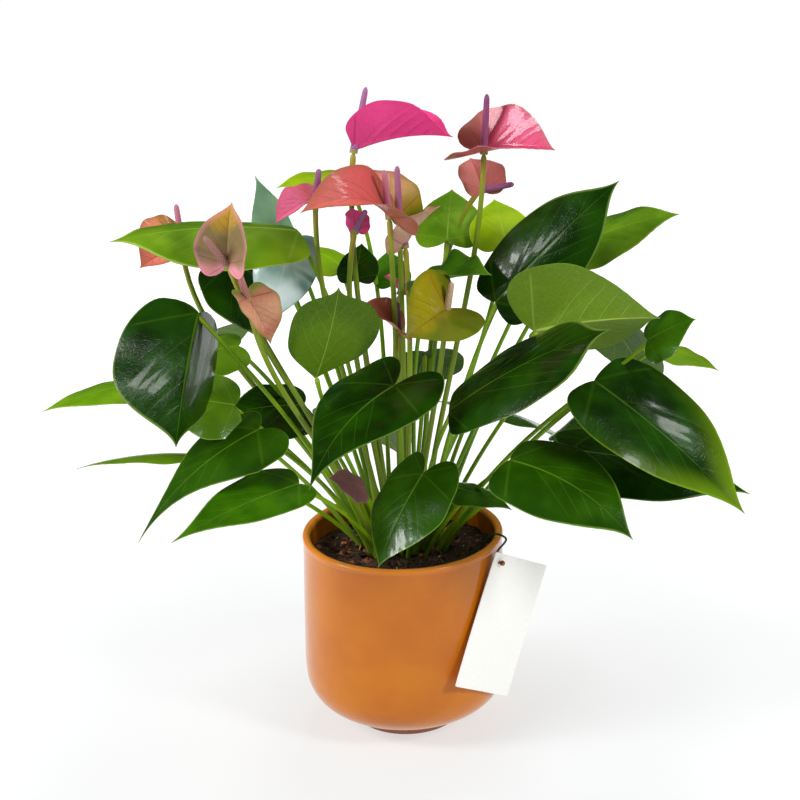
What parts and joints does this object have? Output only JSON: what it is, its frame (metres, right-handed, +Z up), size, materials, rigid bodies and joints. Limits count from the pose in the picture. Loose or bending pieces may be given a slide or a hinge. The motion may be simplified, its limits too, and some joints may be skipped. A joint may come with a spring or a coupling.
{
  "type": "potted anthurium",
  "caption": "Ornamental house plant: a bushy anthurium with heart-shaped leaves and pink spathes on long stalks, in peat in a round glazed pot with a blank card tag.",
  "frame": {"origin": "centre of the pot's flat foot, on the surface it stands on", "axes": "+Z up along the pot's axis, -Y towards the viewer of the picture, +X to the viewer's right"},
  "size_m": [0.4798, 0.3007, 0.4588],
  "materials": {
    "glaze": "glossy terracotta-coloured glaze, bare clay foot",
    "peat": "damp dark peat with bark chips",
    "card": "plain matt card, left blank",
    "coated_wire": "dark green coated wire",
    "stalk_green": "smooth fleshy stalks",
    "leaf_dark": "glossy dark green leaf",
    "leaf_mid": "glossy mid green leaf",
    "leaf_light": "satin light green leaf",
    "leaf_young": "satin yellow-green young leaf",
    "leaf_bronze": "satin purple-brown young leaf",
    "spathe_pink": "satin pink spathe with its spadix",
    "spathe_magenta": "satin magenta spathe with its spadix",
    "spathe_coral": "satin salmon spathe with its spadix",
    "spathe_olive": "satin yellow-green spathe with its spadix"
  },
  "bodies": {
    "root": {"pot": "glaze", "soil": "peat", "tag_card": "card", "tag_wire": "coated_wire", "stems": "stalk_green", "leaf_left_1": "leaf_light", "leaf_left_2": "leaf_dark", "leaf_left_3": "leaf_dark", "leaf_left_4": "leaf_dark", "leaf_left_5": "leaf_dark", "leaf_left_6": "leaf_mid", "leaf_left_7": "leaf_mid", "leaf_left_8": "leaf_mid", "leaf_left_9": "leaf_mid", "leaf_left_10": "leaf_light", "leaf_left_11": "leaf_mid", "leaf_left_12": "leaf_dark", "leaf_front_1": "leaf_dark", "leaf_front_2": "leaf_light", "leaf_front_3": "leaf_mid", "leaf_front_4": "leaf_mid", "leaf_front_5": "leaf_bronze", "leaf_right_1": "leaf_dark", "leaf_right_2": "leaf_mid", "leaf_right_3": "leaf_dark", "leaf_right_4": "leaf_dark", "leaf_right_5": "leaf_light", "leaf_right_6": "leaf_dark", "leaf_right_7": "leaf_young", "leaf_right_8": "leaf_mid", "leaf_right_9": "leaf_light", "leaf_right_10": "leaf_dark", "leaf_right_11": "leaf_light", "leaf_right_12": "leaf_mid", "leaf_mid_1": "leaf_mid", "leaf_mid_2": "leaf_young", "leaf_mid_3": "leaf_young", "leaf_mid_4": "leaf_dark", "leaf_mid_5": "leaf_mid", "leaf_mid_6": "leaf_dark", "leaf_back_1": "leaf_mid", "leaf_back_2": "leaf_dark", "leaf_back_3": "leaf_mid", "leaf_back_4": "leaf_dark", "leaf_back_5": "leaf_mid", "leaf_back_6": "leaf_dark", "bloom_1": "spathe_olive", "bloom_2": "spathe_coral", "bloom_3": "spathe_coral", "bloom_4": "spathe_pink", "bloom_5": "spathe_coral", "bloom_6": "spathe_olive", "bloom_7": "spathe_magenta", "bloom_8": "spathe_magenta", "bloom_9": "spathe_pink", "bloom_10": "spathe_pink", "bloom_11": "spathe_pink", "bloom_12": "spathe_pink", "bloom_13": "spathe_coral", "bloom_14": "spathe_olive"}
  },
  "joints": []
}
